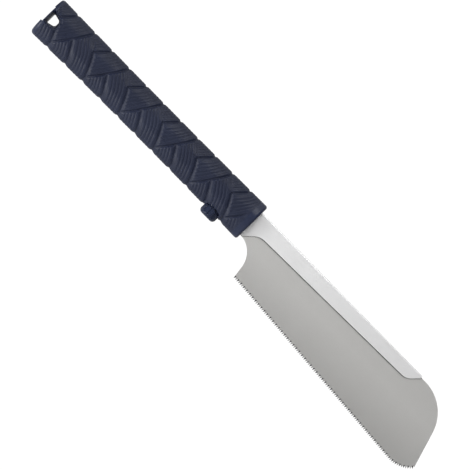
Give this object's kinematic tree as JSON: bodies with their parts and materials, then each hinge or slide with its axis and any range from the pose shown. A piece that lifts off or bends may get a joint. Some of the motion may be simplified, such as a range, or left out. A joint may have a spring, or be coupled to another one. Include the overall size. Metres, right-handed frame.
{
  "type": "hand saw",
  "caption": "Straight-handled pull saw: thin broad-nosed blade with a folded half-length back, held by a thumbscrew clamp in a moulded, wrap-patterned grip.",
  "frame": {"origin": "centre of the grip: half-way along the handle, at mid height, on the middle plane of the blade", "axes": "+X along the saw towards the toe of the blade, +Z towards the blade's back (the teeth face -Z), Y across the blade"},
  "size_m": [0.3996, 0.0212, 0.0621],
  "materials": {
    "blade_steel": "fine ground satin, lengthwise",
    "back_steel": "bright satin",
    "fastener_steel": "zinc plated, satin",
    "block_zinc": "die cast, dull grey zinc alloy",
    "pad_brass": "turned",
    "core_plastic": "navy, fine moulded satin",
    "grip_rubber": "navy elastomer, soft matte",
    "knob_plastic": "navy, semi-gloss"
  },
  "bodies": {
    "handle": {"core_shell_left": "core_plastic", "core_shell_right": "core_plastic", "shell_screws": "fastener_steel", "grip_sleeve": "grip_rubber", "clamp_block": "block_zinc", "clamp_nut": "fastener_steel", "stop_pin": "fastener_steel"},
    "blade": {"saw_plate": "blade_steel", "back_stiffener": "back_steel", "tang_rivets": "fastener_steel"},
    "pad": {"pressure_pad": "pad_brass", "pad_snap_ring": "fastener_steel"},
    "screw": {"clamp_stud": "fastener_steel", "clamp_knob": "knob_plastic"}
  },
  "joints": [
    {"name": "blade_slide", "type": "slide", "parent": "handle", "child": "blade", "axis": [1, 0, 0], "range_m": [0, 0.07]},
    {"name": "pad_slide", "type": "slide", "parent": "handle", "child": "pad", "axis": [0, 0, -1], "range_m": [0, 0.002]},
    {"name": "screw_turn", "type": "hinge", "parent": "pad", "child": "screw", "pos_m": [0.075, 0, -0.0123], "axis": [0, 0, -1], "range_deg": [0, 900]}
  ],
  "couplings": [
    {"joint": "screw_turn", "follows": "pad_slide", "rad_per_m": 7854}
  ]
}
